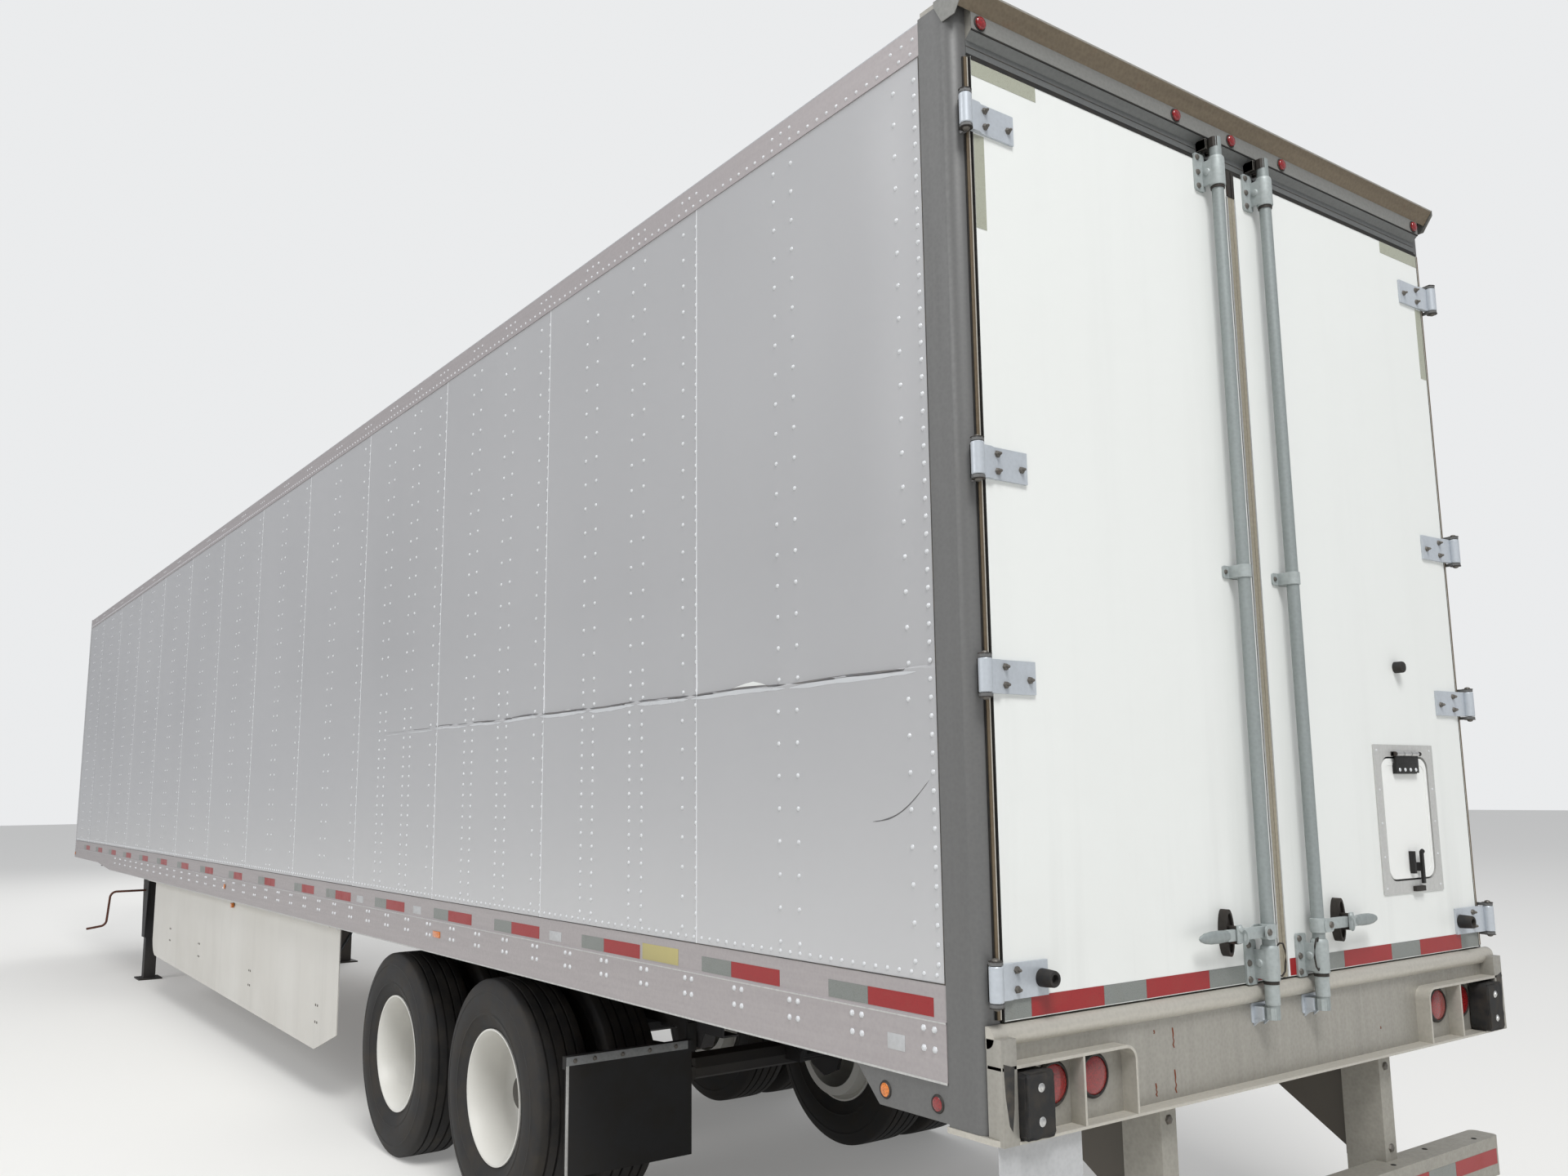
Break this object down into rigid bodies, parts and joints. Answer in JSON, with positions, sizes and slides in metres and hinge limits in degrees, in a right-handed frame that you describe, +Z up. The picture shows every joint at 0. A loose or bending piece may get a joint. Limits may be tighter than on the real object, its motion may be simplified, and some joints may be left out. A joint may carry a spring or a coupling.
{
  "type": "semi trailer",
  "caption": "Full-size dry van semi trailer with swing doors, vent hatch, sliding tandem, skirts and landing legs.",
  "frame": {"origin": "on the kingpin's axis, in the lower face of the coupler plate", "axes": "+X forward towards the nose, +Y to the left, +Z up"},
  "size_m": [16.2323, 2.9029, 4.115],
  "materials": {
    "wall_sheet": "gloss white paint on aluminium sheet",
    "rail_paint": "white painted extrusion",
    "roof_sheet": "mill finish",
    "floor_wood": "laminated oak, worn",
    "chassis_paint": "black paint, dusty",
    "spring_steel": "black paint with rust",
    "rear_frame": "brushed stainless, stained",
    "door_skin": "white door skin",
    "hardware_zinc": "galvanised",
    "vent_frame": "mill finish",
    "stop_rubber": "moulded rubber, worn",
    "flap_rubber": "sheet rubber",
    "tyre_rubber": "dusty",
    "wheel_paint": "white painted steel",
    "guard_paint": "grey galvanised steel",
    "red_lens": "moulded lens",
    "amber_lens": "moulded lens",
    "plate_blank": "blank pressed plate",
    "coupling_metal": "cast",
    "skirt_panel": "off-white composite",
    "crank_steel": "rusted",
    "kingpin_steel": "greased forged steel",
    "tank_paint": "black paint"
  },
  "bodies": {
    "trailer": {"floor_deck": "floor_wood", "crossmembers": "chassis_paint", "roof": "roof_sheet", "front_wall": "wall_sheet", "rear_header": "rear_frame", "rear_sill": "rear_frame", "coupler_plate": "chassis_paint", "kingpin": "kingpin_steel", "landing_braces": "chassis_paint", "landing_crank": "crank_steel", "skirt_struts": "hardware_zinc", "slider_rails": "chassis_paint", "bogie_frame": "chassis_paint", "leaf_springs": "spring_steel", "air_tank": "tank_paint", "mud_flaps": "flap_rubber", "underride_guard": "guard_paint", "red_lamps": "red_lens", "amber_lamps": "amber_lens", "dock_bumpers": "stop_rubber", "number_plate": "plate_blank", "nose_couplings": "coupling_metal", "bottom_rail_left": "rail_paint", "side_wall_left": "wall_sheet", "top_rail_left": "rail_paint", "rear_post_left": "rear_frame", "side_skirt_left": "skirt_panel", "landing_leg_left": "chassis_paint", "bottom_rail_right": "rail_paint", "side_wall_right": "wall_sheet", "top_rail_right": "rail_paint", "rear_post_right": "rear_frame", "side_skirt_right": "skirt_panel", "landing_leg_right": "chassis_paint", "axle_rear": "chassis_paint", "axle_front": "chassis_paint"},
    "door_left": {"door_left_panel": "door_skin", "door_left_hardware": "hardware_zinc", "door_left_stop": "stop_rubber"},
    "door_right": {"door_right_panel": "door_skin", "door_right_hardware": "hardware_zinc", "door_right_stop": "stop_rubber", "vent_frame": "vent_frame"},
    "vent": {"vent_lid": "door_skin"},
    "wheels_rear_left": {"tyres_rear_left": "tyre_rubber", "wheels_rear_left": "wheel_paint"},
    "wheels_rear_right": {"tyres_rear_right": "tyre_rubber", "wheels_rear_right": "wheel_paint"},
    "wheels_front_left": {"tyres_front_left": "tyre_rubber", "wheels_front_left": "wheel_paint"},
    "wheels_front_right": {"tyres_front_right": "tyre_rubber", "wheels_front_right": "wheel_paint"}
  },
  "joints": [
    {"name": "door_left_swing", "type": "hinge", "parent": "trailer", "child": "door_left", "pos_m": [-15.213, 1.276, 1.422], "axis": [0, 0, 1], "range_deg": [-250, 0]},
    {"name": "door_right_swing", "type": "hinge", "parent": "trailer", "child": "door_right", "pos_m": [-15.213, -1.276, 1.422], "axis": [0, 0, 1], "range_deg": [0, 250]},
    {"name": "vent_lid_swing", "type": "hinge", "parent": "door_right", "child": "vent", "pos_m": [-15.207, -0.811, 0.822], "axis": [0, 1, 0], "range_deg": [0, 178]},
    {"name": "wheels_rear_left_turn", "type": "hinge", "parent": "trailer", "child": "wheels_rear_left", "pos_m": [-12.04, 0.975, -0.611], "axis": [0, 1, 0], "continuous": true},
    {"name": "wheels_rear_right_turn", "type": "hinge", "parent": "trailer", "child": "wheels_rear_right", "pos_m": [-12.04, -0.975, -0.611], "axis": [0, 1, 0], "continuous": true},
    {"name": "wheels_front_left_turn", "type": "hinge", "parent": "trailer", "child": "wheels_front_left", "pos_m": [-10.795, 0.975, -0.611], "axis": [0, 1, 0], "continuous": true},
    {"name": "wheels_front_right_turn", "type": "hinge", "parent": "trailer", "child": "wheels_front_right", "pos_m": [-10.795, -0.975, -0.611], "axis": [0, 1, 0], "continuous": true}
  ]
}
